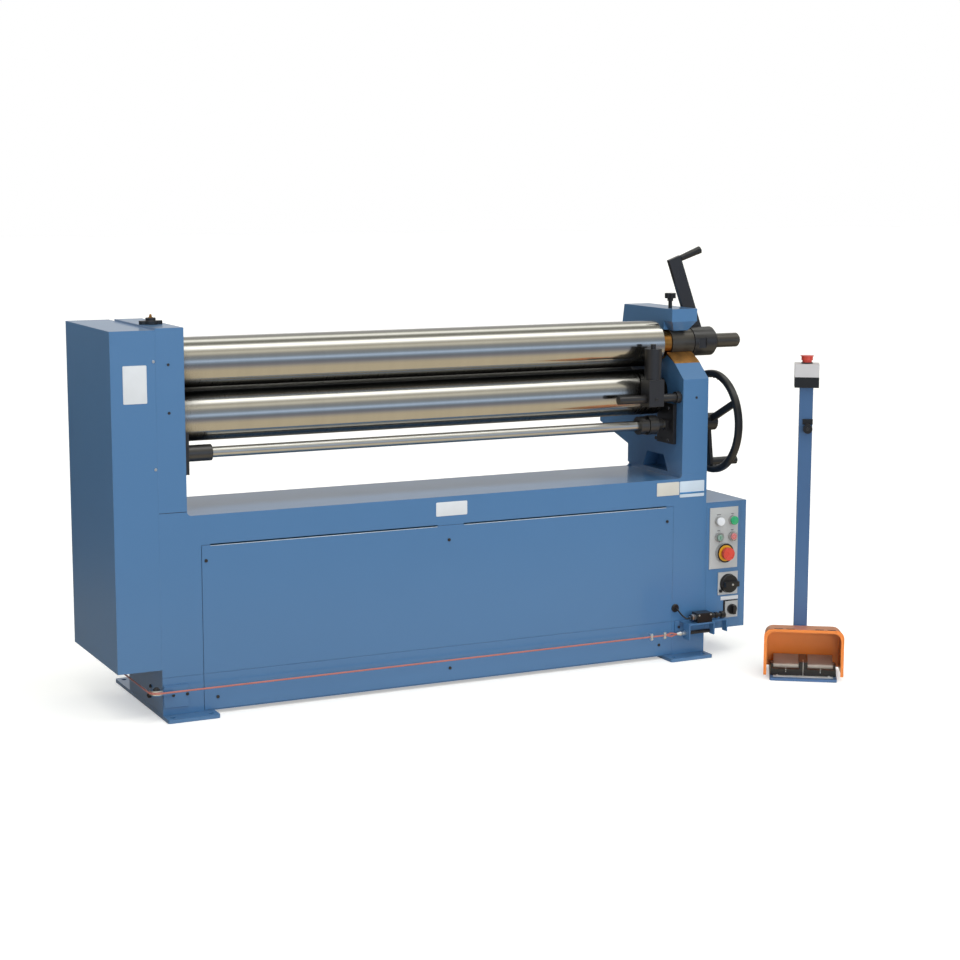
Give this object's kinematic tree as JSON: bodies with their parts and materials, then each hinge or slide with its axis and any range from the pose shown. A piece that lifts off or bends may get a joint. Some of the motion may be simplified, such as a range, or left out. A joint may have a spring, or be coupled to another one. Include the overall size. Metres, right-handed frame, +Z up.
{
  "type": "plate rolling machine",
  "caption": "Plate rolling machine with driven front rolls, a liftable rear roll, handwheel, drop-end lever, control box, trip wire and a free-standing foot switch.",
  "frame": {"origin": "on the floor, in the middle of the four outer anchor holes", "axes": "+X along the rolls towards the control box, -Y towards the operator, +Z up"},
  "size_m": [2.1654, 0.9921, 1.2634],
  "materials": {
    "blue_paint": "gloss enamel over fine orange peel",
    "polished_steel": "ground and polished steel",
    "black_steel": "black oxide on machined steel",
    "bronze": "machined bearing bronze",
    "black_plastic": "satin moulded plastic",
    "grey_panel": "satin grey plate",
    "bezel_metal": "satin metal ring",
    "white_lens": "clear white lens",
    "green_lens": "green lens",
    "green_plastic": "green moulded plastic",
    "red_plastic": "red moulded plastic",
    "zinc": "bright zinc plate",
    "red_wire": "red sleeve over wire",
    "orange_plastic": "orange enamel",
    "tread_metal": "worn bare metal",
    "grey_plastic": "light grey moulded plastic"
  },
  "bodies": {
    "machine": {"front_plate": "blue_paint", "access_panel": "blue_paint", "deck": "blue_paint", "side_plates": "blue_paint", "rear_plate": "blue_paint", "feet": "blue_paint", "left_frame": "blue_paint", "right_frame": "blue_paint", "bearing_cap": "blue_paint", "half_bush": "bronze", "drive_cover": "blue_paint", "oil_cap": "black_steel", "bearing_plates": "black_steel", "guide_bar": "black_steel", "control_box": "blue_paint", "control_door": "blue_paint", "control_plates": "grey_panel", "button_bezels": "bezel_metal", "white_lamp": "white_lens", "green_lamp": "green_lens", "trip_bracket": "blue_paint", "limit_switch": "black_plastic", "wire_fittings": "zinc", "trip_wire": "red_wire", "corner_pulleys": "zinc", "pulley_brackets": "blue_paint", "pedal_base": "blue_paint", "pedal_housing": "black_plastic", "pedal_hood": "orange_plastic", "pedal_post": "blue_paint", "station_base": "black_plastic", "station_lid": "grey_plastic", "post_knob": "black_plastic"},
    "upper_roll": {"upper_roll": "polished_steel", "thrust_ring": "bronze", "upper_journal": "black_steel"},
    "lower_roll": {"lower_roll": "polished_steel"},
    "rear_carriage": {"rear_bearings": "black_steel"},
    "rear_roll": {"rear_roll": "polished_steel"},
    "release_lever": {"release_lever": "black_steel", "lever_grip": "black_plastic"},
    "cap_knob": {"star_knob": "black_plastic"},
    "handwheel": {"cross_shaft": "polished_steel", "couplings": "black_steel", "handwheel": "black_plastic", "handwheel_grip": "black_plastic"},
    "guide": {"guide_block": "black_steel"},
    "guide_roller": {"guide_roller": "black_steel"},
    "start_button": {"start_button": "green_plastic"},
    "stop_button": {"stop_button": "red_plastic"},
    "emergency_button": {"emergency_button": "red_plastic"},
    "main_switch": {"main_switch": "black_plastic"},
    "selector_switch": {"selector_switch": "black_plastic"},
    "left_pedal": {"left_pedal": "tread_metal"},
    "right_pedal": {"right_pedal": "tread_metal"},
    "station_button": {"station_button": "red_plastic"}
  },
  "joints": [
    {"name": "upper_roll_spin", "type": "hinge", "parent": "machine", "child": "upper_roll", "pos_m": [0, -0.0705, 0.97], "axis": [1, 0, 0], "continuous": true},
    {"name": "lower_roll_spin", "type": "hinge", "parent": "machine", "child": "lower_roll", "pos_m": [0, -0.0705, 0.82], "axis": [1, 0, 0], "continuous": true},
    {"name": "rear_roll_lift", "type": "slide", "parent": "machine", "child": "rear_carriage", "axis": [0, -0.342, 0.9397], "range_m": [-0.015, 0.078]},
    {"name": "rear_roll_spin", "type": "hinge", "parent": "rear_carriage", "child": "rear_roll", "pos_m": [0, 0.0945, 0.82], "axis": [1, 0, 0], "continuous": true},
    {"name": "handwheel_turn", "type": "hinge", "parent": "machine", "child": "handwheel", "pos_m": [0, -0.1205, 0.722], "axis": [1, 0, 0], "range_deg": [-540, 2808]},
    {"name": "release_lever_turn", "type": "hinge", "parent": "machine", "child": "release_lever", "pos_m": [0.9165, -0.0705, 0.97], "axis": [1, 0, 0], "range_deg": [0, 90]},
    {"name": "cap_knob_turn", "type": "hinge", "parent": "machine", "child": "cap_knob", "pos_m": [0.8145, -0.0755, 1.1], "axis": [0, 0, 1], "continuous": true},
    {"name": "guide_slide", "type": "slide", "parent": "machine", "child": "guide", "axis": [1, 0, 0], "range_m": [-0.09, 0.04]},
    {"name": "guide_roller_spin", "type": "hinge", "parent": "guide", "child": "guide_roller", "pos_m": [0.6915, -0.1815, 0.92], "axis": [0, 0, 1], "continuous": true},
    {"name": "start_button_press", "type": "slide", "parent": "machine", "child": "start_button", "axis": [0, 1, 0], "range_m": [0, 0.004], "stiffness_N_per_m": 300, "springref_m": -0.004},
    {"name": "stop_button_press", "type": "slide", "parent": "machine", "child": "stop_button", "axis": [0, 1, 0], "range_m": [0, 0.004], "stiffness_N_per_m": 300, "springref_m": -0.004},
    {"name": "emergency_button_press", "type": "slide", "parent": "machine", "child": "emergency_button", "axis": [0, 1, 0], "range_m": [0, 0.005], "stiffness_N_per_m": 600, "springref_m": -0.004},
    {"name": "main_switch_turn", "type": "hinge", "parent": "machine", "child": "main_switch", "pos_m": [0.9605, -0.2085, 0.22], "axis": [0, 1, 0], "range_deg": [0, 90]},
    {"name": "selector_switch_turn", "type": "hinge", "parent": "machine", "child": "selector_switch", "pos_m": [0.9755, -0.2085, 0.136], "axis": [0, 1, 0], "range_deg": [-45, 45]},
    {"name": "left_pedal_press", "type": "hinge", "parent": "machine", "child": "left_pedal", "pos_m": [0.93865, -0.56406, 0.037], "axis": [0.829, -0.5592, 0], "range_deg": [-9, 0], "stiffness_Nm_per_rad": 6, "springref_deg": 17.19},
    {"name": "right_pedal_press", "type": "hinge", "parent": "machine", "child": "right_pedal", "pos_m": [1.02156, -0.61998, 0.037], "axis": [0.829, -0.5592, 0], "range_deg": [-9, 0], "stiffness_Nm_per_rad": 6, "springref_deg": 17.19},
    {"name": "station_button_press", "type": "slide", "parent": "machine", "child": "station_button", "axis": [0, 0, -1], "range_m": [0, 0.005], "stiffness_N_per_m": 600, "springref_m": -0.004}
  ],
  "couplings": [
    {"joint": "lower_roll_spin", "follows": "upper_roll_spin", "ratio": -1},
    {"joint": "rear_roll_lift", "follows": "handwheel_turn", "m_per_rad": 0.0015915}
  ]
}
